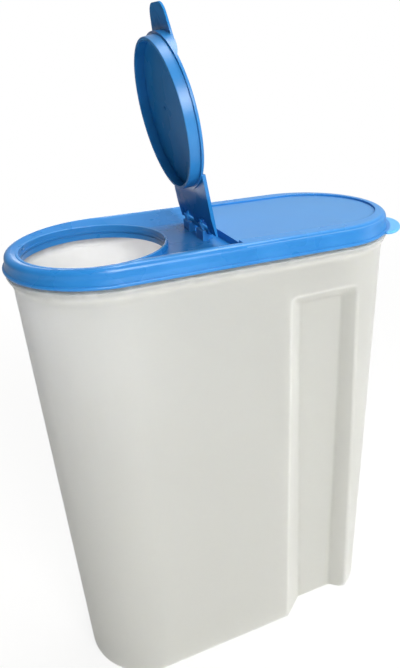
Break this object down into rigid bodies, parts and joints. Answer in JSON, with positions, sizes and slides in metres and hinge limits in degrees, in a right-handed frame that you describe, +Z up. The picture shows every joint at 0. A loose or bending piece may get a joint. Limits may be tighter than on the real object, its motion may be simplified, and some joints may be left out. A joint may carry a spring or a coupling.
{
  "type": "cereal container with flip spout",
  "caption": "Tall translucent dry-food keeper with a press-on oval lid and a hinged flip cap over a round pour opening.",
  "frame": {"origin": "centre of the flat base, on the surface it stands on", "axes": "+Z up; +X along the lid's long side towards the rear end with the hand grips; -X towards the pour opening; the cap's hinge pin lies along Y"},
  "size_m": [0.247, 0.111, 0.4378],
  "materials": {
    "tub_plastic": "milky translucent polypropylene, satin",
    "lid_plastic": "soft blue polyethylene, satin sides and a matte deck",
    "cap_plastic": "blue plastic, semi-gloss"
  },
  "bodies": {
    "tub": {"tub": "tub_plastic"},
    "lid": {"lid": "lid_plastic"},
    "flip_cap": {"flip_cap": "cap_plastic"}
  },
  "joints": [
    {"name": "lid_lift", "type": "slide", "parent": "tub", "child": "lid", "axis": [0, 0, 1], "range_m": [0, 0.05]},
    {"name": "cap_hinge", "type": "hinge", "parent": "lid", "child": "flip_cap", "pos_m": [-0.0063, 0, 0.319], "axis": [0, 1, 0], "range_deg": [-81, 89]}
  ]
}
